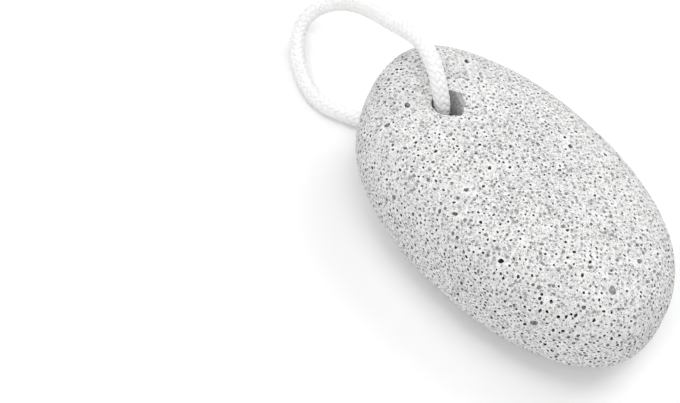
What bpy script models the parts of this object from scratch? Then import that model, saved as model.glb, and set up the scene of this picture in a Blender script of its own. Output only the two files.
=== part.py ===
"""A pumice stone with a hanging loop: an oval, pitted block of pumice, drilled through near one end,
and the white braided cord that goes through the hole and is knotted inside it.

Metres, +Z up. The stone lies flat, its length along X, with the drilled end towards -X. The origin is
under the middle of the stone, on the surface that it lies on.
"""

import bmesh
import bpy
import math
import random
from mathutils import Vector, noise

MM = 0.001

# the stone's block
STONE_LENGTH = 100.0 * MM
STONE_WIDTH = 57.3 * MM
STONE_THICKNESS = 36.0 * MM
OUTLINE_POWER = 2.27  # superellipse power of the oval seen from above
CROWN_POWER = 3.27  # rounding of the upper half: 2 is a ball, more is flatter
BASE_POWER = 3.55  # rounding of the lower half
EGG_TAPER = -0.022  # share of width that the +X end loses
OUTLINE_SWELLS = (  # (waves round the outline, share of radius in phase with +X, share in phase with +Y)
    (3, 0.0013, 0.0053),
    (4, 0.0066, -0.0145),
    (5, 0.0003, 0.0041),
    (6, 0.0010, -0.0038),
)
REST_WEAR = 0.4 * MM  # worn off the lowest point, which leaves the flat that the stone rests on
PROW_RISE = 5.6 * MM  # the underside lifts this much towards the drilled end
PROW_START_X = -4.0 * MM
PROW_FULL_X = -34.0 * MM
WORN_HEIGHT = 0.22 * MM  # long shallow hollows and swells that wear leaves
WORN_SIZE = 17.0 * MM

# the stone's mesh
FACE_SPLITS = 12  # each face of a 20-sided ball is cut into (splits + 1) squared
END_STRETCH = 0.35  # evens out faces between the broad top and the narrow sides
RELAX_PASSES = 14
RELAX_FACTOR = 0.5  # how far a pass moves a point towards the middle of its neighbours
WELD_DISTANCE = 0.001 * MM
CREASE_ANGLE = 38  # degrees; sharper edges than this are shaded as creases

# the drilled hole
HOLE_X = -26.3 * MM
HOLE_Y = -1.8 * MM
HOLE_RADIUS = 4.1 * MM
HOLE_WEAR = 0.8 * MM  # the mouths' edges are rounded off by this much
MOUTH_EDGE_STEPS = ((1.0, 0.0), (0.3, 1.0), (0.0, 2.2))  # (outwards, inwards) along the edge, in wears
TOP_MOUTH_Z = 34.8 * MM
BASE_MOUTH_Z = 5.3 * MM
HOLE_SIDES = 24
HOLE_OVERSHOOT = 4.0 * MM

# pits: gas bubbles cut open at the surface
MARKED_PITS = (  # (x, y, z, radius, depth) of the largest ones, in mm
    (-32.5, -9.3, 33.4, 1.05, 0.80),
    (-33.4, 11.8, 33.1, 0.95, 0.95),
    (-31.8, -17.9, 31.2, 0.90, 0.80),
    (-16.2, -27.6, 25.8, 1.00, 0.90),
    (-3.4, -16.8, 34.6, 1.00, 1.00),
    (-4.2, -7.4, 35.5, 0.80, 0.90),
    (-0.6, 14.7, 35.0, 0.75, 0.85),
    (15.7, -22.3, 31.7, 0.90, 1.10),
    (37.5, 4.6, 32.9, 0.95, 0.90),
    (38.3, -6.2, 32.7, 1.25, 0.85),
    (31.0, -22.9, 22.7, 1.00, 0.90),
)
LOOSE_PITS = 118
PIT_SEED = 41
PIT_RADIUS_RANGE = (0.55 * MM, 0.95 * MM)
PIT_DEPTH_SHARES = (0.8, 1.15)  # depth over radius
PIT_GAP = 1.9 * MM  # least distance between two pits' edges
PIT_WALL_STEPS = ((0.86, 0.55), (0.45, 1.0))  # (share of the radius, share of the depth) of each ring
MOUTH_MARGIN = 2.6 * MM  # no pit this close to the hole's mouths

# the cord, a round braid
CORD_DIAMETER = 4.4 * MM
CORD_STEP = 5.2 * MM
CORD_RING_DETAIL = 3
CORD_CURVE_CUTS = 40  # straight cuts between two route points while the length is measured
CORD_ROUTE = (  # mm, from the top of the knot, up the hole, out over the end and back under it
    (-26.7, -2.2, 23.6),
    (-26.9, -2.4, 28.5),
    (-27.5, -2.4, 33.4),
    (-29.1, -2.1, 36.5),
    (-31.6, -1.3, 39.2),
    (-34.8, -0.2, 41.2),
    (-38.5, 0.9, 42.0),
    (-42.8, 1.6, 41.6),
    (-47.5, 2.0, 39.9),
    (-52.5, 2.9, 36.8),
    (-59.0, 5.3, 31.2),
    (-66.0, 8.6, 24.2),
    (-72.5, 10.6, 18.4),
    (-77.6, 10.5, 14.6),
    (-81.4, 8.7, 11.8),
    (-83.7, 5.8, 9.6),
    (-84.5, 2.5, 7.4),
    (-83.7, -0.5, 5.2),
    (-81.4, -3.3, 3.5),
    (-78.2, -5.8, 2.5),
    (-73.9, -8.2, 2.22),
    (-69.1, -10.1, 2.22),
    (-64.3, -10.9, 2.22),
    (-59.3, -10.1, 2.22),
    (-53.8, -7.5, 2.22),
    (-47.0, -3.9, 2.22),
    (-40.6, -1.9, 2.22),
    (-34.2, -1.3, 2.22),
    (-30.2, -1.5, 3.1),
    (-26.9, -1.6, 5.7),
    (-25.2, -1.6, 9.0),
    (-24.9, -1.6, 12.3),
)

# the knot that closes the loop, drawn into the hole
KNOT_RADIUS = 3.6 * MM
KNOT_END_RADIUS = 2.5 * MM
KNOT_LOW_Z = 13.0 * MM
KNOT_HIGH_Z = 23.0 * MM
KNOT_RINGS = 8
KNOT_SIDES = 16
KNOT_BULGE_POWER = 0.6  # under 1 gives fuller shoulders

# finishes: colour, roughness
PUMICE_GREY = (0.62, 0.62, 0.61)
PUMICE_ROUGHNESS = 0.95
COTTON_WHITE = (0.86, 0.86, 0.85)
COTTON_ROUGHNESS = 0.85


def clear_scene():
    for old in list(bpy.data.objects):
        bpy.data.objects.remove(old, do_unlink=True)


def make_material(name, colour, roughness):
    material = bpy.data.materials.new(name)
    material.use_nodes = True
    shader = material.node_tree.nodes["Principled BSDF"]
    shader.inputs["Base Color"].default_value = (*colour, 1.0)
    shader.inputs["Roughness"].default_value = roughness
    shader.inputs["Metallic"].default_value = 0.0
    return material


def link_mesh(name, bm, material):
    mesh = bpy.data.meshes.new(name)
    bm.to_mesh(mesh)
    bm.free()
    mesh.materials.append(material)
    piece = bpy.data.objects.new(name, mesh)
    bpy.context.collection.objects.link(piece)
    return piece


def onto_block(point):
    """Slides a point along its ray from the middle onto the plain rounded block."""
    along = abs(point.x) / (STONE_LENGTH / 2)
    across = abs(point.y) / (STONE_WIDTH / 2)
    upright = abs(point.z) / (STONE_THICKNESS / 2)
    power = CROWN_POWER if point.z > 0 else BASE_POWER
    ring = (along**OUTLINE_POWER + across**OUTLINE_POWER) ** (1 / OUTLINE_POWER)
    return point * (ring**power + upright**power) ** (-1 / power)


def smooth_ramp(value, start, full):
    share = min(max((value - start) / (full - start), 0.0), 1.0)
    return share * share * (3 - 2 * share)


def wear_block(point):
    """Turns a point of the plain block into the same point of the hand-shaped, worn stone."""
    half_length = STONE_LENGTH / 2
    half_width = STONE_WIDTH / 2
    half_thick = STONE_THICKNESS / 2
    x = point.x
    y = point.y * (1 + EGG_TAPER * point.x / half_length)
    turn = math.atan2(y / half_width, x / half_length)
    swell = 1.0
    for waves, in_phase, out_of_phase in OUTLINE_SWELLS:
        swell += in_phase * math.cos(waves * turn) + out_of_phase * math.sin(waves * turn)
    x *= swell
    y *= swell
    z = point.z
    if z < 0:
        z -= PROW_RISE * smooth_ramp(x, PROW_START_X, PROW_FULL_X) * z / half_thick
    worn = Vector((x, y, z))
    outward = Vector((x / half_length**2, y / half_width**2, z / half_thick**2)).normalized()
    worn += outward * noise.noise(worn / WORN_SIZE) * WORN_HEIGHT
    floor = REST_WEAR - half_thick
    worn.z = max(worn.z, floor) - floor
    return worn


def block_mesh():
    """The stone's closed outer skin, in even triangles."""
    bm = bmesh.new()
    bmesh.ops.create_icosphere(bm, subdivisions=1, radius=1.0)
    bmesh.ops.subdivide_edges(bm, edges=bm.edges[:], cuts=FACE_SPLITS, use_grid_fill=True)
    stretch = Vector((STONE_LENGTH, STONE_WIDTH, STONE_THICKNESS)) / 2
    for vert in bm.verts:
        ray = vert.co.normalized()
        vert.co = onto_block(Vector([ray[i] * stretch[i] ** (1 - END_STRETCH) for i in range(3)]))
    for _ in range(RELAX_PASSES):
        bmesh.ops.smooth_vert(
            bm, verts=bm.verts, factor=RELAX_FACTOR, use_axis_x=True, use_axis_y=True, use_axis_z=True
        )
        for vert in bm.verts:
            vert.co = onto_block(vert.co)
    for vert in bm.verts:
        vert.co = wear_block(vert.co)
    bmesh.ops.recalc_face_normals(bm, faces=bm.faces[:])
    bm.normal_update()
    return bm


def near_hole(place, margin):
    return math.hypot(place.x - HOLE_X, place.y - HOLE_Y) < HOLE_RADIUS + margin


def nearest_vertex(bm, place):
    return min(bm.verts, key=lambda vert: (vert.co - place).length_squared)


def choose_pits(bm):
    """(vertex, radius, depth) of every pit: the marked ones first, then the loose ones between them."""
    pits = []
    for x, y, z, radius, depth in MARKED_PITS:
        place = Vector((x, y, z)) * MM
        vert = nearest_vertex(bm, place)
        vert.co = place
        pits.append((vert, radius * MM, depth * MM))
    draw = random.Random(PIT_SEED)
    candidates = bm.verts[:]
    draw.shuffle(candidates)
    wanted = len(pits) + LOOSE_PITS
    for vert in candidates:
        if len(pits) == wanted:
            break
        radius = draw.uniform(*PIT_RADIUS_RANGE)
        if near_hole(vert.co, MOUTH_MARGIN + radius):
            continue
        if any((vert.co - other.co).length < radius + size + PIT_GAP for other, size, _ in pits):
            continue
        pits.append((vert, radius, radius * draw.uniform(*PIT_DEPTH_SHARES)))
    return pits


def cut_pit(bm, vert, radius, depth):
    """Opens one rounded pit at a vertex of the skin."""
    bm.normal_update()
    inward = -vert.normal
    middle = vert.co.copy()
    cut = bmesh.ops.bevel(
        bm,
        geom=[vert],
        offset=radius,
        offset_type="OFFSET",
        segments=1,
        profile=0.5,
        affect="VERTICES",
        clamp_overlap=True,
        material=-1,
    )
    face = max(cut["faces"], key=lambda one: len(one.verts))
    for corner in face.verts:
        spoke = corner.co - middle
        spoke -= inward * spoke.dot(inward)
        corner.co += spoke.normalized() * (radius - spoke.length)
    rim = [corner.co.copy() for corner in face.verts]
    for radius_share, depth_share in PIT_WALL_STEPS:
        grown = bmesh.ops.extrude_discrete_faces(bm, faces=[face])
        face = grown["faces"][0]
        for corner, edge in zip(face.verts, rim):
            corner.co = middle + (edge - middle) * radius_share + inward * depth * depth_share


def hole_cutter():
    """A turned bar with a flare at each mouth, which leaves the mouths' edges rounded."""
    low_end = BASE_MOUTH_Z - HOLE_OVERSHOOT
    high_end = TOP_MOUTH_Z + HOLE_OVERSHOOT
    end_radius = HOLE_RADIUS + HOLE_WEAR + HOLE_OVERSHOOT / 2
    profile = [(0.0, low_end), (end_radius, low_end)]
    for outwards, inwards in MOUTH_EDGE_STEPS:
        profile.append((HOLE_RADIUS + HOLE_WEAR * outwards, BASE_MOUTH_Z + HOLE_WEAR * inwards))
    for outwards, inwards in reversed(MOUTH_EDGE_STEPS):
        profile.append((HOLE_RADIUS + HOLE_WEAR * outwards, TOP_MOUTH_Z - HOLE_WEAR * inwards))
    profile += [(end_radius, high_end), (0.0, high_end)]
    return turned_piece("hole_cutter", profile, (HOLE_X, HOLE_Y), HOLE_SIDES)


def turned_piece(name, profile, axis_place, sides, material=None):
    """Turns (radius, z) points about an upright axis into one closed piece."""
    bm = bmesh.new()
    line = [bm.verts.new((radius, 0.0, z)) for radius, z in profile]
    edges = [bm.edges.new(pair) for pair in zip(line, line[1:])]
    bmesh.ops.spin(
        bm,
        geom=line + edges,
        axis=(0, 0, 1),
        cent=(0, 0, 0),
        angle=math.tau,
        steps=sides,
        use_merge=True,
        use_duplicate=False,
    )
    bmesh.ops.remove_doubles(bm, verts=bm.verts[:], dist=WELD_DISTANCE)
    bmesh.ops.recalc_face_normals(bm, faces=bm.faces[:])
    bmesh.ops.translate(bm, verts=bm.verts[:], vec=(*axis_place, 0.0))
    if material is None:
        material = make_material(name, PUMICE_GREY, PUMICE_ROUGHNESS)
    return link_mesh(name, bm, material)


def make_stone(material):
    bm = block_mesh()
    for vert, radius, depth in choose_pits(bm):
        cut_pit(bm, vert, radius, depth)
    bmesh.ops.triangulate(bm, faces=bm.faces[:])
    stone = link_mesh("stone", bm, material)
    stone.data.shade_smooth()
    stone.data.set_sharp_from_angle(angle=math.radians(CREASE_ANGLE))
    cutter = hole_cutter()
    cutter.hide_render = True
    cutter.display_type = "WIRE"
    drill = stone.modifiers.new("drill", "BOOLEAN")
    drill.operation = "DIFFERENCE"
    drill.solver = "EXACT"
    drill.object = cutter
    return stone


def curve_point(before, start, end, after, share):
    """A point between start and end on the Catmull-Rom curve through the four points."""
    square = share * share
    cube = square * share
    return 0.5 * (
        2 * start
        + (end - before) * share
        + (2 * before - 5 * start + 4 * end - after) * square
        + (3 * start - before - 3 * end + after) * cube
    )


def smooth_route(route, step):
    """Evenly spaced points on the smooth curve through the route's points."""
    stops = [Vector(stop) * MM for stop in route]
    stops = [2 * stops[0] - stops[1], *stops, 2 * stops[-1] - stops[-2]]
    fine = []
    for four in zip(stops, stops[1:], stops[2:], stops[3:]):
        fine += [curve_point(*four, cut / CORD_CURVE_CUTS) for cut in range(CORD_CURVE_CUTS)]
    fine.append(stops[-2])
    travelled = [0.0]
    for here, there in zip(fine, fine[1:]):
        travelled.append(travelled[-1] + (there - here).length)
    count = round(travelled[-1] / step)
    even = []
    index = 0
    for number in range(count + 1):
        target = travelled[-1] * number / count
        while index < len(fine) - 2 and travelled[index + 1] < target:
            index += 1
        share = (target - travelled[index]) / (travelled[index + 1] - travelled[index])
        even.append(fine[index].lerp(fine[index + 1], share))
    return even


def make_cord(material):
    points = smooth_route(CORD_ROUTE, CORD_STEP)
    curve = bpy.data.curves.new("cord", "CURVE")
    curve.dimensions = "3D"
    curve.bevel_depth = CORD_DIAMETER / 2
    curve.bevel_resolution = CORD_RING_DETAIL
    curve.use_fill_caps = True
    line = curve.splines.new("POLY")
    line.points.add(len(points) - 1)
    for spot, point in zip(line.points, points):
        spot.co = (*point, 1.0)
    line.use_smooth = True
    curve.materials.append(material)
    cord = bpy.data.objects.new("cord", curve)
    bpy.context.collection.objects.link(cord)
    return cord


def make_knot(material):
    """The pressed-together knot: a barrel with blunt ends, one towards each end of the cord."""
    profile = [(0.0, KNOT_LOW_Z)]
    for ring in range(KNOT_RINGS + 1):
        share = ring / KNOT_RINGS
        bulge = math.sin(math.pi * share) ** KNOT_BULGE_POWER
        radius = KNOT_END_RADIUS + (KNOT_RADIUS - KNOT_END_RADIUS) * bulge
        profile.append((radius, KNOT_LOW_Z + (KNOT_HIGH_Z - KNOT_LOW_Z) * share))
    profile.append((0.0, KNOT_HIGH_Z))
    knot = turned_piece("knot", profile, (HOLE_X, HOLE_Y), KNOT_SIDES, material)
    knot.data.shade_smooth()
    knot.data.set_sharp_from_angle(angle=math.radians(CREASE_ANGLE))
    return knot


def main():
    clear_scene()
    make_stone(make_material("pumice", PUMICE_GREY, PUMICE_ROUGHNESS))
    cotton = make_material("cotton", COTTON_WHITE, COTTON_ROUGHNESS)
    make_cord(cotton)
    make_knot(cotton)


main()
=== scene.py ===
# A pumice stone with its braided cord loop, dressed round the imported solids
import bmesh
import bpy
import math
import random
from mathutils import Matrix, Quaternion, Vector, kdtree, noise


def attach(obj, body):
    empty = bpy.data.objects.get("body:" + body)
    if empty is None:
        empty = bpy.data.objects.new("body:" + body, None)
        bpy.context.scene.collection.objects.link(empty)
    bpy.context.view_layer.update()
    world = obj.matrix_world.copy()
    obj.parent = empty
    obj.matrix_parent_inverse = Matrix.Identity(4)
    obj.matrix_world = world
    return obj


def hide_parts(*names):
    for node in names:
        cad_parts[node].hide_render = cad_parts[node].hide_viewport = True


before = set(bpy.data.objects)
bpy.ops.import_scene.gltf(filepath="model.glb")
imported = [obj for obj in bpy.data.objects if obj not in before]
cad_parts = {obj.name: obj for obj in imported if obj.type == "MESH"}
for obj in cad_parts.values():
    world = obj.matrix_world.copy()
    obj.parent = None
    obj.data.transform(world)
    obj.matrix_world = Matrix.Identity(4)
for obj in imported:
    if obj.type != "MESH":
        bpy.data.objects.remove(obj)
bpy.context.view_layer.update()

mm = 0.001
tubeWeld = 0.002 * mm  # merges the two long edges of a rolled tube


class Socket:  # one output in a material; sums and products of it add Math nodes
    def __init__(self, finish, node, output=0):
        self.finish = finish
        self.node = node
        self.link = node.outputs[output]

    def out(self, name):
        return Socket(self.finish, self.node, name)

    def maths(self, operation, *values):
        return self.finish.add("ShaderNodeMath", {"operation": operation}, dict(enumerate(values)))

    def __add__(self, other):
        return self.maths("ADD", self, other)

    def __sub__(self, other):
        return self.maths("SUBTRACT", self, other)

    def __rsub__(self, other):
        return self.maths("SUBTRACT", other, self)

    def __mul__(self, other):
        return self.maths("MULTIPLY", self, other)

    __radd__ = __add__
    __rmul__ = __mul__

    def ramp(self, low, high):  # 0 at low, 1 at high, smooth between
        return self.finish.add(
            "ShaderNodeMapRange",
            {"interpolation_type": "SMOOTHSTEP"},
            {"Value": self, "From Min": low, "From Max": high},
        )


class Finish:  # one material
    def __init__(self, name, roughness):
        self.material = bpy.data.materials.new(name)
        self.material.use_nodes = True
        self.tree = self.material.node_tree
        self.shader = self.tree.nodes["Principled BSDF"]
        self.shader.inputs["Roughness"].default_value = roughness

    def add(self, kind, settings=None, sockets=None, output=0):
        node = self.tree.nodes.new(kind)
        for name, value in (settings or {}).items():
            setattr(node, name, value)
        for name, value in (sockets or {}).items():
            self.feed(node.inputs[name], value)
        return Socket(self, node, output)

    def feed(self, entry, value):
        if isinstance(value, Socket):
            self.tree.links.new(value.link, entry)
        else:
            entry.default_value = value

    def mixColour(self, share, first, second):
        colours = {0: share, 6: first, 7: second}  # the factor and the two colour sockets
        return self.add("ShaderNodeMix", {"data_type": "RGBA"}, colours, output=2)

    def mottle(self, spot, scale, **sockets):  # soft noise, about 0.5 at its middle
        return self.add("ShaderNodeTexNoise", None, {"Vector": spot, "Scale": scale, **sockets})

    def bump(self, height, strength):  # a height of 1 stands 1 mm proud
        sockets = {"Height": height, "Strength": strength, "Distance": mm}
        return self.add("ShaderNodeBump", None, sockets)

    def finishWith(self, **sockets):
        for name, value in sockets.items():
            self.feed(self.shader.inputs[name.replace("_", " ")], value)
        return self.material


def linkPiece(name, bm, material, body="root"):
    mesh = bpy.data.meshes.new(name)
    bm.to_mesh(mesh)
    bm.free()
    mesh.materials.append(material)
    piece = bpy.data.objects.new(name, mesh)
    bpy.context.collection.objects.link(piece)
    if body:
        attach(piece, body)
    return piece


cameraSpec = {
    "place": (138.77 * mm, -224.80 * mm, 407.26 * mm),
    "aim": (-27.43 * mm, -35.42 * mm, 18.0 * mm),
    "roll": 9.52,  # degrees, top of the frame leaning to its left
    "lens": 95.3,
    "sensor": 36,  # its width, in the lens's own millimetres
    "nearest": 0.01,  # nothing closer than this (m) is drawn
}


def makeCamera(spec):
    data = bpy.data.cameras.new("camera")
    data.sensor_width = spec["sensor"]
    data.lens = spec["lens"]
    data.clip_start = spec["nearest"]
    camera = bpy.data.objects.new("camera", data)
    bpy.context.collection.objects.link(camera)
    camera.location = spec["place"]
    looking = Vector(spec["aim"]) - Vector(spec["place"])
    roll = Quaternion((0, 0, 1), math.radians(spec["roll"]))
    camera.rotation_mode = "QUATERNION"
    camera.rotation_quaternion = looking.to_track_quat("-Z", "Y") @ roll
    bpy.context.scene.camera = camera


makeCamera(cameraSpec)
print("camera placed")


cordSpec = {
    "diameter": 4.4 * mm,
    "length": 163.1 * mm,
    "exit": (-28.0 * mm, -2.3 * mm, 34.8 * mm),  # where it leaves the hole's top mouth
    "step": 0.4 * mm,  # between two rings of a strand
    "pathStep": 2.2 * mm,  # between two points of the measured centre line
    "eachWay": 8,  # strands that turn each way
    "pitch": 15.0 * mm,  # length in which a strand goes once round
    "strandWidth": 1.42 * mm,
    "strandThick": 0.66 * mm,
    "sides": 8,
    "underDip": 0.24 * mm,  # how far a strand swings in and out of the middle layer
    "dipSoftness": 0.22,  # 0 would jump from over to under
    "dipReach": 1.1,  # makes up for what the softness takes off the swing
    "coreRadius": 1.5 * mm,
    "coreSides": 12,
    "route": (  # mm, from the top of the knot, up the hole, out over the end and back under it
        (-26.7, -2.2, 23.6), (-26.9, -2.4, 28.5), (-27.5, -2.4, 33.4), (-29.1, -2.1, 36.5),
        (-31.6, -1.3, 39.2), (-34.8, -0.2, 41.2), (-38.5, 0.9, 42.0), (-42.8, 1.6, 41.6),
        (-47.5, 2.0, 39.9), (-52.5, 2.9, 36.8), (-59.0, 5.3, 31.2), (-66.0, 8.6, 24.2),
        (-72.5, 10.6, 18.4), (-77.6, 10.5, 14.6), (-81.4, 8.7, 11.8), (-83.7, 5.8, 9.6),
        (-84.5, 2.5, 7.4), (-83.7, -0.5, 5.2), (-81.4, -3.3, 3.5), (-78.2, -5.8, 2.5),
        (-73.9, -8.2, 2.22), (-69.1, -10.1, 2.22), (-64.3, -10.9, 2.22), (-59.3, -10.1, 2.22),
        (-53.8, -7.5, 2.22), (-47.0, -3.9, 2.22), (-40.6, -1.9, 2.22), (-34.2, -1.3, 2.22),
        (-30.2, -1.5, 3.1), (-26.9, -1.6, 5.7), (-25.2, -1.6, 9.0), (-24.9, -1.6, 12.3),
    ),
}


def curvePoint(before, start, end, after, share):  # Catmull-Rom
    square = share * share
    cube = square * share
    return 0.5 * (
        2 * start
        + (end - before) * share
        + (2 * before - 5 * start + 4 * end - after) * square
        + (3 * start - before - 3 * end + after) * cube
    )


def smoothRoute(stops, step, cuts=40):  # evenly spaced points on the curve through the stops
    stops = [2 * stops[0] - stops[1], *stops, 2 * stops[-1] - stops[-2]]
    fine = []
    for four in zip(stops, stops[1:], stops[2:], stops[3:]):
        fine += [curvePoint(*four, cut / cuts) for cut in range(cuts)]
    fine.append(stops[-2])
    travelled = [0.0]
    for here, there in zip(fine, fine[1:]):
        travelled.append(travelled[-1] + (there - here).length)
    count = round(travelled[-1] / step)
    even = []
    index = 0
    for number in range(count + 1):
        target = travelled[-1] * number / count
        while index < len(fine) - 2 and travelled[index + 1] < target:
            index += 1
        share = (target - travelled[index]) / (travelled[index + 1] - travelled[index])
        even.append(fine[index].lerp(fine[index + 1], share))
    return even


def carriedFrames(points):  # (place, side, up) at each point, turned as little as may be
    along = [(b - a).normalized() for a, b in zip(points, points[1:])]
    along.append(along[-1])
    side = along[0].orthogonal().normalized()
    frames = []
    for place, way in zip(points, along):
        side = (side - way * side.dot(way)).normalized()
        frames.append((place, side, way.cross(side)))
    return frames


def rolledGrid(bm, rings, sides, placeOf):  # a tube: a flat grid rolled up, its long edges merged
    made = bmesh.ops.create_grid(
        bm, x_segments=rings - 1, y_segments=sides, size=1.0, calc_uvs=True
    )
    for vert in made["verts"]:
        ring = round((vert.co.x + 1) / 2 * (rings - 1))
        corner = round((vert.co.y + 1) / 2 * sides) % sides
        vert.co = placeOf(ring, corner)
    bmesh.ops.remove_doubles(bm, verts=made["verts"], dist=tubeWeld)
    ends = [edge for edge in bm.edges if edge.is_boundary]
    bmesh.ops.holes_fill(bm, edges=ends, sides=sides)


def makeBraid(name, points, spec, material):
    frames = carriedFrames(points)
    reach = [0.0]
    for here, there in zip(points, points[1:]):
        reach.append(reach[-1] + (there - here).length)
    middleRadius = spec["diameter"] / 2 - spec["strandThick"] / 2 - spec["underDip"]
    whole = bmesh.new()
    whole.loops.layers.uv.new("strandMap")

    def onCord(index, angle, radius):
        place, side, up = frames[index]
        return place + (side * math.cos(angle) + up * math.sin(angle)) * radius

    def coreRing(ring, corner):
        return onCord(ring, math.tau * corner / spec["coreSides"], spec["coreRadius"])

    rolledGrid(whole, len(points), spec["coreSides"], coreRing)
    for way in (1, -1):
        for number in range(spec["eachWay"]):
            centres = []
            for index, length in enumerate(reach):
                turns = way * length / spec["pitch"] + number / spec["eachWay"]
                crossing = spec["eachWay"] * (turns + way * length / spec["pitch"])
                wave = math.cos(math.pi / 2 * (crossing + number) - math.pi / 4)
                soft = math.sqrt(wave * wave + spec["dipSoftness"])
                lift = way * wave / soft * spec["dipReach"]
                radius = middleRadius + spec["underDip"] * lift
                centres.append((onCord(index, math.tau * turns, radius), frames[index][0]))
            places = [place for place, _ in centres]
            single = bmesh.new()
            single.loops.layers.uv.new("strandMap")

            def strandRing(ring, corner):
                place, middle = centres[ring]
                ahead = places[min(ring + 1, len(places) - 1)] - places[max(ring - 1, 0)]
                outward = (place - middle).normalized()
                across = ahead.cross(outward).normalized()
                angle = math.tau * corner / spec["sides"]
                wide = across * math.cos(angle) * spec["strandWidth"] / 2
                thick = outward * math.sin(angle) * spec["strandThick"] / 2
                return place + wide + thick

            rolledGrid(single, len(points), spec["sides"], strandRing)
            carrier = bpy.data.meshes.new("strand")
            single.to_mesh(carrier)
            single.free()
            whole.from_mesh(carrier)
            bpy.data.meshes.remove(carrier)
    bmesh.ops.recalc_face_normals(whole, faces=whole.faces[:])
    piece = linkPiece(name, whole, material)
    piece.data.shade_smooth()
    return piece


cottonLook = {
    "white": (0.92, 0.92, 0.915, 1),
    "shade": (0.80, 0.80, 0.795, 1),
    "roughness": 0.85,
    "sheen": 0.25,
    "gloss": 0.2,
    "yarnsAround": 50.0,  # the yarns of a strand, twisted: waves round it and along it
    "yarnsAlong": 900.0,
    "fibre": 5200.0,  # scale of the fluff
    "soil": 260.0,  # and of the broad unevenness
    "shades": (0.9, 0.8, 0.25),  # share of fluff, of unevenness, and everywhere
    "heights": (0.02, 0.08),  # of yarns and fluff
    "bump": 0.8,
}


def cottonFinish(look):
    cotton = Finish("cottonBraid", look["roughness"])
    mapped = cotton.add("ShaderNodeUVMap", {"uv_map": "strandMap"})
    split = cotton.add("ShaderNodeSeparateXYZ", None, {0: mapped})
    twist = split.out("Y") * look["yarnsAround"] + split.out("X") * look["yarnsAlong"]
    yarns = twist.maths("SINE", twist)
    spot = cotton.add("ShaderNodeTexCoord", output="Object")
    fibre = cotton.mottle(spot, look["fibre"], Detail=3.0, Roughness=0.6)
    soil = cotton.mottle(spot, look["soil"], Detail=2.0)
    fibreShade, soilShade, allOver = look["shades"]
    shadeShare = (fibre - 0.5) * fibreShade + (soil - 0.5) * soilShade + allOver
    colour = cotton.mixColour(shadeShare.ramp(0.0, 1.0), look["white"], look["shade"])
    yarnHeight, fibreHeight = look["heights"]
    height = yarns * yarnHeight + fibre * fibreHeight
    cotton.shader.inputs["Sheen Weight"].default_value = look["sheen"]
    cotton.shader.inputs["Specular IOR Level"].default_value = look["gloss"]
    return cotton.finishWith(Base_Color=colour, Normal=cotton.bump(height, look["bump"]))


cottonBraid = cottonFinish(cottonLook)
routeStops = [Vector(stop) * mm for stop in cordSpec["route"]]
cordLine = smoothRoute(routeStops, cordSpec["step"])
braidedCord = makeBraid("braidedCord", cordLine, cordSpec, cottonBraid)
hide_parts("cord")
print("cord braided:", len(braidedCord.data.polygons), "faces")


knotSpec = {
    "axis": (-26.3 * mm, -1.8 * mm),
    "lowZ": 13.0 * mm,
    "highZ": 23.0 * mm,
    "wraps": 3.0,
    "wrapRadius": 1.55 * mm,  # thickness of the squeezed cord
    "wrapOffset": 1.95 * mm,  # of its centre line from the knot's axis
    "endTuck": 0.25,  # the smaller, the later both ends tuck into the middle
    "stepsPerWrap": 28,
    "sides": 14,
}


def makeKnot(name, spec, material):
    axisX, axisY = spec["axis"]
    low = spec["lowZ"] + spec["wrapRadius"]
    high = spec["highZ"] - spec["wrapRadius"]
    count = round(spec["wraps"] * spec["stepsPerWrap"])
    points = []
    for number in range(count + 1):
        share = number / count
        turn = math.tau * spec["wraps"] * share
        offset = spec["wrapOffset"] * math.sin(math.pi * share) ** spec["endTuck"]
        x, y = axisX + offset * math.cos(turn), axisY + offset * math.sin(turn)
        points.append(Vector((x, y, low + (high - low) * share)))
    frames = carriedFrames(points)
    bm = bmesh.new()
    bm.loops.layers.uv.new("strandMap")

    def wrapRing(ring, corner):
        place, side, up = frames[ring]
        angle = math.tau * corner / spec["sides"]
        return place + (side * math.cos(angle) + up * math.sin(angle)) * spec["wrapRadius"]

    rolledGrid(bm, len(points), spec["sides"], wrapRing)
    bmesh.ops.recalc_face_normals(bm, faces=bm.faces[:])
    piece = linkPiece(name, bm, material)
    piece.data.shade_smooth()
    return piece


pressedKnot = makeKnot("pressedKnot", knotSpec, cottonBraid)
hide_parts("knot")
smoothRoute(routeStops, cordSpec["pathStep"])
print("knot pressed in")


stoneSpec = {
    "size": (100.0 * mm, 57.3 * mm, 36.0 * mm),
    "outlinePower": 2.27,  # superellipse power of the oval seen from above
    "crownPower": 3.27,  # rounding of the upper half
    "basePower": 3.55,  # rounding of the lower half
    "eggTaper": -0.022,  # share of width that the far end loses
    "swells": (  # waves round the outline, share in phase with +X, share in phase with +Y
        (3, 0.0013, 0.0053),
        (4, 0.0066, -0.0145),
        (5, 0.0003, 0.0041),
        (6, 0.0010, -0.0038),
    ),
    "restWear": 0.4 * mm,
    "prowRise": 5.6 * mm,  # the underside lifts this much towards the drilled end
    "prowStart": -4.0 * mm,
    "prowFull": -34.0 * mm,
    "wornHeight": 0.22 * mm,
    "wornSize": 17.0 * mm,
    "grainHeight": 0.07 * mm,  # finer unevenness between the pores
    "grainSize": 2.3 * mm,
    "splits": 33,  # each face of a 20-sided ball is cut into (splits + 1) squared
    "endStretch": 0.35,
    "relaxPasses": 8,
    "relaxStrength": 0.5,
    "jitter": 0.50 * mm,
    "jitterSoftening": 0.3,
    "seed": 7,
    "sharpAngle": 32,  # degrees; edges sharper than this aren't shaded smooth
}


def ontoBlock(point, spec):  # slides a point along its ray onto the plain rounded block
    along, across, upright = (abs(part) * 2 / side for part, side in zip(point, spec["size"]))
    oval = spec["outlinePower"]
    power = spec["crownPower"] if point.z > 0 else spec["basePower"]
    ring = (along**oval + across**oval) ** (1 / oval)
    return point * (ring**power + upright**power) ** (-1 / power)


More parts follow.
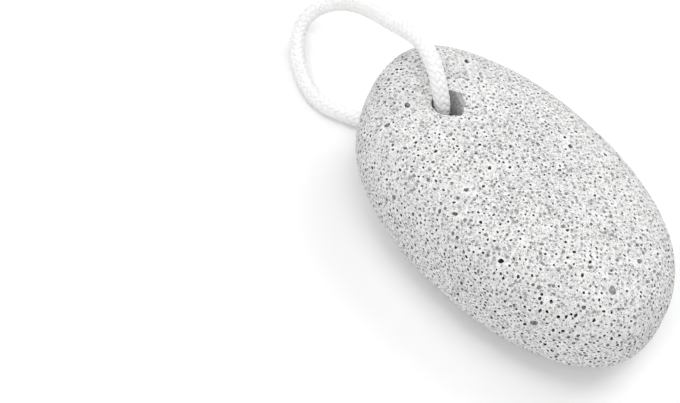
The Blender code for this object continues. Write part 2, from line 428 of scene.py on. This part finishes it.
def smoothRamp(value, start, full):
    share = min(max((value - start) / (full - start), 0.0), 1.0)
    return share * share * (3 - 2 * share)


def wearBlock(point, spec):  # a point of the plain block becomes that of the worn stone
    halfLength, halfWidth, halfThick = (side / 2 for side in spec["size"])
    x = point.x
    y = point.y * (1 + spec["eggTaper"] * point.x / halfLength)
    turn = math.atan2(y / halfWidth, x / halfLength)
    swell = 1.0
    for waves, inPhase, outOfPhase in spec["swells"]:
        swell += inPhase * math.cos(waves * turn) + outOfPhase * math.sin(waves * turn)
    x *= swell
    y *= swell
    z = point.z
    if z < 0:
        z -= spec["prowRise"] * smoothRamp(x, spec["prowStart"], spec["prowFull"]) * z / halfThick
    worn = Vector((x, y, z))
    outward = Vector((x / halfLength**2, y / halfWidth**2, z / halfThick**2)).normalized()
    worn += outward * noise.noise(worn / spec["wornSize"]) * spec["wornHeight"]
    worn += outward * noise.noise(worn / spec["grainSize"]) * spec["grainHeight"]
    floor = spec["restWear"] - halfThick
    worn.z = max(worn.z, floor) - floor
    return worn


def soften(bm, strength):
    bmesh.ops.smooth_vert(
        bm, verts=bm.verts[:], factor=strength, use_axis_x=True, use_axis_y=True, use_axis_z=True
    )


def blockMesh(spec):
    bm = bmesh.new()
    bmesh.ops.create_icosphere(bm, subdivisions=1, radius=1.0)
    bmesh.ops.subdivide_edges(bm, edges=bm.edges[:], cuts=spec["splits"], use_grid_fill=True)
    stretches = [(side / 2) ** (1 - spec["endStretch"]) for side in spec["size"]]
    for vert in bm.verts:
        ray = vert.co.normalized()
        vert.co = ontoBlock(Vector([part * more for part, more in zip(ray, stretches)]), spec)
    for _ in range(spec["relaxPasses"]):
        soften(bm, spec["relaxStrength"])
        for vert in bm.verts:
            vert.co = ontoBlock(vert.co, spec)
    draw = random.Random(spec["seed"])
    for vert in bm.verts:
        vert.co += Vector([draw.uniform(-1, 1) for _ in range(3)]) * spec["jitter"]
    soften(bm, spec["jitterSoftening"])
    for vert in bm.verts:
        vert.co = wearBlock(ontoBlock(vert.co, spec), spec)
    bmesh.ops.recalc_face_normals(bm, faces=bm.faces[:])
    bm.normal_update()
    return bm


poreSpec = {
    "marked": (  # (x, y, z, radius, depth, darkness, lengthening) of the largest, mm; the darkness is painted shade in the pit
        (-32.5, -9.3, 33.4, 0.90, 0.80, 0.80, 0.15),
        (-33.4, 11.8, 33.1, 0.72, 0.80, 0.80, 0.50),
        (-31.8, -17.9, 31.2, 0.66, 0.70, 0.75, 0.45),
        (-16.2, -27.6, 25.8, 0.70, 0.65, 0.60, 0.10),
        (-3.4, -16.8, 34.6, 0.60, 0.80, 0.80, 0.50),
        (-0.9, -22.8, 32.4, 0.58, 0.75, 0.75, 0.50),
        (-4.2, -7.4, 35.5, 0.50, 0.80, 0.95, 0.40),
        (-1.0, -3.4, 35.6, 0.45, 0.70, 1.00, 0.20),
        (-0.6, 14.7, 35.0, 0.48, 0.70, 1.00, 0.10),
        (2.5, 14.0, 35.1, 0.66, 0.80, 0.90, 0.35),
        (10.0, 20.6, 33.4, 0.50, 0.75, 0.95, 0.40),
        (15.7, -22.3, 31.7, 0.70, 1.05, 1.00, 0.30),
        (31.3, -18.9, 30.3, 0.52, 0.75, 1.00, 0.10),
        (37.5, 4.6, 32.9, 0.70, 0.65, 0.65, 0.20),
        (38.3, -6.2, 32.7, 1.02, 0.60, 0.50, 0.30),
        (31.0, -22.9, 22.7, 0.84, 0.75, 0.66, 0.40),
    ),
    "kinds": (  # share of the tries, least and greatest radius (mm), least and greatest darkness (painted shade in the pore)
        (0.43, 0.19, 0.30, 0.08, 0.40),
        (0.31, 0.30, 0.44, 0.08, 0.44),
        (0.10, 0.34, 0.44, 0.90, 1.10),
        (0.12, 0.32, 0.44, 0.35, 0.80),
        (0.04, 0.44, 0.54, 0.12, 0.50),
    ),
    "wanted": 8200,
    "wall": 0.10 * mm,  # least stone between two pores
    "lengthening": 0.50,  # greatest share by which a mouth is longer than wide
    "flankGrowth": 0.05,  # the sides cut the bubbles open wider than the top does
    "flankRise": 0.40,  # and taller than wide
    "flankShade": 2.10,  # and their painted shade darker
    "clearOfEdge": 0.80,  # most of the way to the next bare vertex
    "depths": (0.9, 1.7),  # over the radius
    "seed": 11,
    "clearOfMarked": 1.3,  # radii kept between a pore and the vertices a marked one takes in
    "start": 0.08 * mm,  # first cut, before each pore is opened to its own radius
    "middleFrom": 0.31 * mm,  # smaller pores are plain cones
    "largeFrom": 0.43 * mm,  # larger pores have a rounded mouth and floor
    "roundSides": 9,
    "ragged": 0.26,  # how far a mouth's corners stray from its radius, as a share
    "smallShade": 0.7,  # painted shade of a small pore's cone, as a share of its darkness
    "middlingFloor": (0.68, 1.0, 0.5, 1.0),  # shares of radius and depth, painted shade of wall and floor
    "largeWaist": (0.90, 0.5, 0.55, 1.0),
    "largeFloor": (0.55, 1.0, 0.8, 1.0),
    "wallChange": (0.5, 1.5),  # least and greatest painted shade of one wall face, as a share
    "lipFrom": 0.30,  # pores darker than this have a paler lip, a painted highlight
    "weld": 0.001 * mm,
}


def ovalOf(vert, lengthening, spec, draw):  # (direction, growth) pairs that lengthen a mouth
    anyWay = Vector([draw.uniform(-1, 1) for _ in range(3)])
    up = Vector((0, 0, 1))
    steep = (up - vert.normal * vert.normal.z).normalized()
    flank = 1 - abs(vert.normal.z)
    across = vert.normal.cross(anyWay).normalized()
    return ((across, lengthening), (steep, spec["flankRise"] * flank))


def choosePores(bm, spec):  # what each pore is like, by vertex number
    draw = random.Random(spec["seed"])
    places = kdtree.KDTree(len(bm.verts))
    bm.verts.ensure_lookup_table()
    for vert in bm.verts:
        places.insert(vert.co, vert.index)
    places.balance()
    taken = {}
    gone = set()
    for x, y, z, radius, depth, shade, lengthening in spec["marked"]:
        index = places.find(Vector((x, y, z)) * mm)[1]
        vert = bm.verts[index]
        around = [edge.other_vert(vert) for edge in vert.link_edges]
        ring = [other for other in around if other.index not in gone]
        gone.update(other.index for other in ring)
        taken[index] = {
            "radius": radius * mm,
            "room": radius * mm * (1 + lengthening / 2),
            "depth": depth * mm,
            "shade": shade,
            "oval": ovalOf(vert, lengthening, spec, draw),
            "ring": ring,
        }
    order = list(range(len(bm.verts)))
    draw.shuffle(order)
    widest = max(pore["room"] for pore in taken.values())
    for index in order:
        if len(taken) == spec["wanted"]:
            break
        pick = draw.random()
        for share, least, greatest, palest, darkest in spec["kinds"]:
            if pick < share:
                break
            pick -= share
        vert = bm.verts[index]
        flank = 1 - abs(vert.normal.z)
        radius = draw.uniform(least, greatest) * mm * (1 + spec["flankGrowth"] * flank)
        depth = radius * draw.uniform(*spec["depths"])
        shade = draw.uniform(palest, darkest) * (1 + spec["flankShade"] * flank)
        lengthening = draw.uniform(0, spec["lengthening"])
        oval = ovalOf(vert, lengthening, spec, draw)
        if index in taken or index in gone:
            continue
        nearest = min(edge.calc_length() for edge in vert.link_edges)
        radius = min(radius, spec["clearOfEdge"] * nearest)
        room = radius * (1 + lengthening / 2 + spec["flankRise"] * flank / 2)
        near = places.find_range(vert.co, room + widest + spec["wall"])
        if any(i in taken and gap < room + taken[i]["room"] + spec["wall"] for _, i, gap in near):
            continue
        if any(i in gone and gap < room * spec["clearOfMarked"] for _, i, gap in near):
            continue
        taken[index] = {
            "radius": radius,
            "room": room,
            "depth": depth,
            "shade": shade,
            "oval": oval,
            "ring": None,
        }
    return taken


def openPores(bm, taken, spec):  # cuts every chosen vertex into a pore, all at once
    bm.verts.ensure_lookup_table()
    # painted shade: each wall and floor of a pore is darkened where shade falls in it
    darkness = bm.faces.layers.float["paintedShadeAndLight"]
    lip = bm.verts.layers.float["poreLip"]
    draw = random.Random(spec["seed"] + 1)
    pores = list(taken.values())
    merges = []
    for index, pore in taken.items():
        vert = bm.verts[index]
        pore["middle"], pore["inward"] = vert.co.copy(), -vert.normal
        if pore["ring"]:
            merges.append([vert, *pore["ring"]])
    for group in merges:
        bmesh.ops.pointmerge(bm, verts=group, merge_co=group[0].co)
    places = kdtree.KDTree(len(pores))
    for number, pore in enumerate(pores):
        places.insert(pore["middle"], number)
    places.balance()
    cut = bmesh.ops.bevel(
        bm,
        geom=[vert for vert in bm.verts if places.find(vert.co)[2] < spec["weld"]],
        offset=spec["start"],
        offset_type="OFFSET",
        segments=1,
        profile=0.5,
        affect="VERTICES",
        clamp_overlap=False,
        material=-1,
    )

    def numberOf(face):
        return places.find(face.calc_center_median())[1]

    def ownerOf(face):
        return pores[numberOf(face)]

    def spread(faces, radiusShare, depthShare, ragged=0.0):
        for face in faces:
            pore = ownerOf(face)
            middle, inward = pore["middle"], pore["inward"]
            for corner in face.verts:
                spoke = corner.co - middle
                spoke -= inward * spoke.dot(inward)
                reach = spoke.normalized() * pore["radius"] * radiusShare
                reach *= 1 - ragged * draw.random()
                for way, growth in pore["oval"]:
                    reach += way * reach.dot(way) * growth
                corner.co = middle + reach + inward * pore["depth"] * depthShare

    def sink(faces, radiusShare, depthShare, wallShade, floorShade):
        floors = bmesh.ops.extrude_discrete_faces(bm, faces=faces)["faces"]
        floors.sort(key=numberOf)  # keeps the draws the same on every run
        for face in floors:
            shade = ownerOf(face)["shade"]
            face[darkness] = shade * floorShade
            for edge in face.edges:
                for wall in edge.link_faces:
                    if wall is not face:
                        wall[darkness] = shade * wallShade * draw.uniform(*spec["wallChange"])
            for corner in face.verts:
                corner[lip] = 0.0
        spread(floors, radiusShare, depthShare)
        return floors

    def isMouth(face):
        return places.find(face.calc_center_median())[2] < spec["start"]

    mouths = [face for face in cut["faces"] if isMouth(face)]
    small, middling, large = [], [], []
    for face in mouths:
        radius = ownerOf(face)["radius"]
        if radius < spec["middleFrom"]:
            small.append(face)
        elif radius < spec["largeFrom"]:
            middling.append(face)
        else:
            large.append(face)
    plain = [face for face in large if len(face.verts) < spec["roundSides"]]
    rims = dict.fromkeys(edge for face in plain for edge in face.edges)  # each once, in order
    bmesh.ops.bisect_edges(bm, edges=list(rims), cuts=1)
    spread(mouths, 1.0, 0.0, spec["ragged"])
    for face in mouths:
        for corner in face.verts:
            corner[lip] = smoothRamp(ownerOf(face)["shade"], spec["lipFrom"], 1.0)
    for face in small:
        face[darkness] = ownerOf(face)["shade"] * spec["smallShade"]
    tips = bmesh.ops.poke(bm, faces=small, offset=0.0, center_mode="MEAN")["verts"]
    for tip in tips:
        pore = pores[places.find(tip.co)[1]]
        tip.co = pore["middle"] + pore["inward"] * pore["depth"]
    sink(middling, *spec["middlingFloor"])
    large = sink(large, *spec["largeWaist"])
    sink(large, *spec["largeFloor"])
    print("pores:", len(pores), "small", len(small), "middling", len(middling), "large", len(large))


holeSpec = {
    "axis": (-26.3 * mm, -1.8 * mm),
    "radius": 4.0 * mm,
    "topZ": 34.8 * mm,
    "baseZ": 5.3 * mm,
    "edgeWear": 0.15 * mm,
    "flareDepth": 2.2,  # wears from a mouth to where the wall is straight
    "flareShare": 0.3,  # of the flare that is left one wear down
    "overshoot": 4.0 * mm,
    "sides": 96,
    "rings": 26,
    "mouthRings": 10,  # closer rings in the last stretch under the top mouth
    "mouthStretch": 3.0 * mm,
    "roughness": 0.14 * mm,
    "roughSize": 1.3 * mm,
    "weld": 0.001 * mm,
    "bulges": (  # middle and half width (degrees), outward (mm), how deep it reaches (mm)
        (53, 36, -0.50, 60.0),
        (2, 19, 1.15, 9.0),
        (50, 26, 0.95, 0.9),
        (88, 12, 0.45, 1.2),
        (250, 20, 0.20, 1.5),
    ),
    "wallReach": 1.5,  # a face up to this many roughnesses outside the radius is wall
    "paleDepth": 9.0 * mm,  # under this the wall is at its palest, painted light
    "wallShades": (0.36, -0.75),  # painted shade of the wall at the top mouth and deep down; under 0 is painted light
}


def holeReach(spec, turn, below):  # outward growth of the wall at an angle and a depth
    growth = 0.0
    for middle, halfWidth, outward, deep in spec["bulges"]:
        off = (math.degrees(turn) - middle + 180) % 360 - 180
        fade = smoothRamp(deep * mm - below, 0.0, deep * mm)
        growth += outward * mm * math.exp(-((off / halfWidth) ** 2)) * fade
    return growth


def holeCutter(spec, material):  # a turned, roughened bar with a small flare at each mouth
    low = spec["baseZ"] - spec["overshoot"]
    high = spec["topZ"] + spec["overshoot"]
    plain, wear = spec["radius"], spec["edgeWear"]
    flared = plain + spec["flareShare"] * wear
    wide = plain + wear + spec["overshoot"] / 2
    wallLow = spec["baseZ"] + spec["flareDepth"] * wear
    wallHigh = spec["topZ"] - spec["flareDepth"] * wear
    mouthLow = wallHigh - spec["mouthStretch"]
    profile = [(0.0, low), (wide, low), (plain + wear, spec["baseZ"])]
    profile.append((flared, spec["baseZ"] + wear))
    for ring in range(spec["rings"]):
        profile.append((plain, wallLow + (mouthLow - wallLow) * ring / spec["rings"]))
    for ring in range(spec["mouthRings"] + 1):
        profile.append((plain, mouthLow + spec["mouthStretch"] * ring / spec["mouthRings"]))
    profile.append((flared, spec["topZ"] - wear))
    profile += [(plain + wear, spec["topZ"]), (wide, high), (0.0, high)]
    bm = bmesh.new()
    line = [bm.verts.new((radius, 0.0, z)) for radius, z in profile]
    edges = [bm.edges.new(pair) for pair in zip(line, line[1:])]
    bmesh.ops.spin(
        bm,
        geom=line + edges,
        axis=(0, 0, 1),
        cent=(0, 0, 0),
        angle=math.tau,
        steps=spec["sides"],
        use_merge=True,
        use_duplicate=False,
    )
    bmesh.ops.remove_doubles(bm, verts=bm.verts[:], dist=spec["weld"])
    bmesh.ops.recalc_face_normals(bm, faces=bm.faces[:])
    for vert in bm.verts:
        outward = Vector((vert.co.x, vert.co.y, 0.0))
        if outward.length > plain / 2:
            broad = noise.noise(vert.co / spec["roughSize"])
            rough = broad + noise.noise(vert.co * 2 / spec["roughSize"]) / 2
            turn = math.atan2(outward.y, outward.x)
            growth = holeReach(spec, turn, max(spec["topZ"] - vert.co.z, 0.0))
            vert.co += outward.normalized() * (rough * spec["roughness"] + growth)
    bmesh.ops.translate(bm, verts=bm.verts[:], vec=(*spec["axis"], 0.0))
    return linkPiece("holeCutter", bm, material, body=None)


def drillStone(stone, cutter):
    drill = stone.modifiers.new("drill", "BOOLEAN")
    drill.operation = "DIFFERENCE"
    drill.solver = "EXACT"
    drill.object = cutter
    bpy.context.view_layer.update()
    finished = stone.evaluated_get(bpy.context.evaluated_depsgraph_get())
    drilled = bpy.data.meshes.new_from_object(finished)
    stone.modifiers.clear()
    stone.data = drilled
    bpy.data.objects.remove(cutter)
    return drilled


def shadeWall(mesh, spec):  # paints shade on the hole's wall at its top mouth and paints light on it deep down
    shades = mesh.attributes["paintedShadeAndLight"].data
    axisX, axisY = spec["axis"]
    topShade, deepShade = spec["wallShades"]
    for face in mesh.polygons:
        offX, offY = face.center.x - axisX, face.center.y - axisY
        below = spec["topZ"] - face.center.z
        wall = spec["radius"] + holeReach(spec, math.atan2(offY, offX), max(below, 0.0))
        if math.hypot(offX, offY) < wall + spec["roughness"] * spec["wallReach"]:
            pale = smoothRamp(below, 0.0, spec["paleDepth"])
            shades[face.index].value = topShade + (deepShade - topShade) * pale


def makeStone(name, material):
    bm = blockMesh(stoneSpec)
    # painted shade in the pores; on the hole's wall painted shade, and painted light where under 0
    bm.faces.layers.float.new("paintedShadeAndLight")
    bm.verts.layers.float.new("poreLip")
    openPores(bm, choosePores(bm, poreSpec), poreSpec)
    bmesh.ops.triangulate(bm, faces=bm.faces[:])
    stone = linkPiece(name, bm, material)
    drilled = drillStone(stone, holeCutter(holeSpec, material))
    shadeWall(drilled, holeSpec)
    for vert in drilled.vertices:
        vert.co.z = max(vert.co.z, 0.0)
    drilled.shade_smooth()
    drilled.set_sharp_from_angle(angle=math.radians(stoneSpec["sharpAngle"]))
    return stone


pumiceLook = {
    "body": (0.82, 0.82, 0.815, 1),
    "lipHighlight": (0.95, 0.95, 0.945, 1),  # painted highlight on the lips of the deeper pores
    "drilled": (0.92, 0.92, 0.915, 1),  # painted light, paling the wall deep in the hole
    "fleckAndHollowShade": (0.34, 0.34, 0.34, 1),
    # painted shade inside the pores: near black, with paler grain
    "pore": (0.02, 0.02, 0.02, 1),
    "poreGrain": (0.17, 0.17, 0.168, 1),
    "grainInPores": (0.4, 0.7),  # of the fine noise, from none to all of that colour
    "roughness": 0.95,
    "gloss": 0.15,
    "wideCells": 820.0,  # faint hollows, cells per metre; their darkening is painted shade
    "tinyCells": 1650.0,
    "wideEdge": (0.20, 0.42),  # of a cell, where a hollow begins to end and where it ends
    "tinyEdge": (0.12, 0.38),
    "hollowRagged": 0.25,
    "hollowDepths": (0.1, 0.9),  # of the cells' own random number, from flat to deepest
    "grain": 2300.0,
    "patch": 1050.0,
    "cloud": 95.0,
    "shades": (0.70, 3.4, 1.3, 0.25),  # of hollows, grain, patches and clouds in the flecks; the hollows' part is painted shade
    "fleckRange": (-0.46, 0.96),  # of their sum, from bare body to full fleck
    # share of the painted highlight on the lips
    "lipShare": 0.5,
    "heights": (0.16, 0.16, 0.24),  # of the grain, and depths of tiny and wide hollows
    "bump": 0.9,
}


def pumiceFinish(look):
    pumice = Finish("pumiceStone", look["roughness"])
    spot = pumice.add("ShaderNodeTexCoord", output="Object")
    # painted shade of the pores and the hole's wall, painted light where it is under 0
    shade = pumice.add("ShaderNodeAttribute", {"attribute_name": "paintedShadeAndLight"}, output="Fac")
    lip = pumice.add("ShaderNodeAttribute", {"attribute_name": "poreLip"}, output="Fac")
    fine = pumice.mottle(spot, look["grain"], Detail=3.0, Roughness=0.65)
    patch = pumice.mottle(spot, look["patch"], Detail=2.0, Distortion=0.6)
    cloud = pumice.mottle(spot, look["cloud"], Detail=3.0)

    def hollows(scale, edge):  # round pits of many depths, 0 to 1, sunk by the bump and darkened as painted shade
        where = {"Vector": spot, "Scale": scale}
        cells = pumice.add("ShaderNodeTexVoronoi", {"feature": "F1"}, where)
        depth = pumice.add("ShaderNodeSeparateColor", None, {0: cells.out("Color")})
        ragged = cells + (fine - 0.5) * look["hollowRagged"]
        return (1 - ragged.ramp(*edge)) * depth.ramp(*look["hollowDepths"])

    wide = hollows(look["wideCells"], look["wideEdge"])
    tiny = hollows(look["tinyCells"], look["tinyEdge"])
    hollowShade, fineShade, patchShade, cloudShade = look["shades"]
    flecksAndHollowShade = wide * hollowShade + tiny * hollowShade + (fine - 0.5) * fineShade
    flecksAndHollowShade = flecksAndHollowShade + (patch - 0.5) * patchShade + (cloud - 0.5) * cloudShade
    ground = pumice.mixColour(flecksAndHollowShade.ramp(*look["fleckRange"]), look["body"], look["fleckAndHollowShade"])
    # painted highlight round the lips of the darker pores
    ground = pumice.mixColour(lip * look["lipShare"], ground, look["lipHighlight"])
    ground = pumice.mixColour(shade * -1.0, ground, look["drilled"])  # painted light: shades under 0 pale the colour
    # the pores' painted shade colour, grained by the fine noise
    inside = pumice.mixColour(fine.ramp(*look["grainInPores"]), look["pore"], look["poreGrain"])
    colour = pumice.mixColour(shade, ground, inside)
    grainHeight, tinyDepth, wideDepth = look["heights"]
    height = fine * grainHeight - tiny * tinyDepth - wide * wideDepth
    pumice.shader.inputs["Specular IOR Level"].default_value = look["gloss"]
    return pumice.finishWith(Base_Color=colour, Normal=pumice.bump(height, look["bump"]))


pumice = pumiceFinish(pumiceLook)
pumiceStone = makeStone("pumiceStone", pumice)
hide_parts("stone")
print("stone made:", len(pumiceStone.data.polygons), "faces")


floorSpec = {
    "side": 6.0,
    "cuts": 8,
    "drop": 0.02 * mm,  # keeps it from flickering through the rest face
    "colour": (0.92, 0.92, 0.92, 1),
    "palest": 1.015,  # times that colour
    "cloud": 3.0,
    "roughness": 0.9,
    "gloss": 0.1,
}


def makeFloor(spec):
    ground = Finish("paleFloor", spec["roughness"])
    spot = ground.add("ShaderNodeTexCoord", output="Object")
    cloud = ground.mottle(spot, spec["cloud"], Detail=2.0)
    paler = tuple(min(part * spec["palest"], 1.0) for part in spec["colour"])
    material = ground.finishWith(Base_Color=ground.mixColour(cloud, spec["colour"], paler))
    ground.shader.inputs["Specular IOR Level"].default_value = spec["gloss"]
    bm = bmesh.new()
    bmesh.ops.create_grid(
        bm, x_segments=spec["cuts"], y_segments=spec["cuts"], size=spec["side"] / 2
    )
    bmesh.ops.translate(bm, verts=bm.verts[:], vec=(0, 0, -spec["drop"]))
    floor = linkPiece("floor", bm, material, body=None)


lightSpec = {
    "world": 0.3,
    "lamps": (  # name, place (m), side (m), power (W)
        ("softboxAbove", (0.0, 0.0, 1.35), 0.6, 4.4),
        ("windowBehind", (0.0, 0.95, 0.95), 0.9, 7.6),
        ("windowLeft", (-0.95, -0.10, 0.95), 0.9, 4.2),
        ("roomFront", (0.30, -0.90, 0.95), 0.9, 6.9),
        ("roomRight", (0.95, 0.25, 0.95), 0.9, 1.6),
    ),
    "target": (0.0, 0.0, 0.02),
}


def makeLight(spec):
    world = bpy.data.worlds.new("softSky")
    world.use_nodes = True
    sky = world.node_tree.nodes["Background"]
    sky.inputs["Color"].default_value = (1, 1, 1, 1)
    sky.inputs["Strength"].default_value = spec["world"]
    bpy.context.scene.world = world
    for name, place, side, power in spec["lamps"]:
        data = bpy.data.lights.new(name, "AREA")
        data.size = side
        data.energy = power
        lamp = bpy.data.objects.new(name, data)
        bpy.context.collection.objects.link(lamp)
        lamp.location = place
        lamp.rotation_mode = "QUATERNION"
        shining = Vector(spec["target"]) - lamp.location
        lamp.rotation_quaternion = shining.to_track_quat("-Z", "Y")
    bpy.context.scene.view_settings.view_transform = "Standard"


makeFloor(floorSpec)
makeLight(lightSpec)
print("floor and light set")
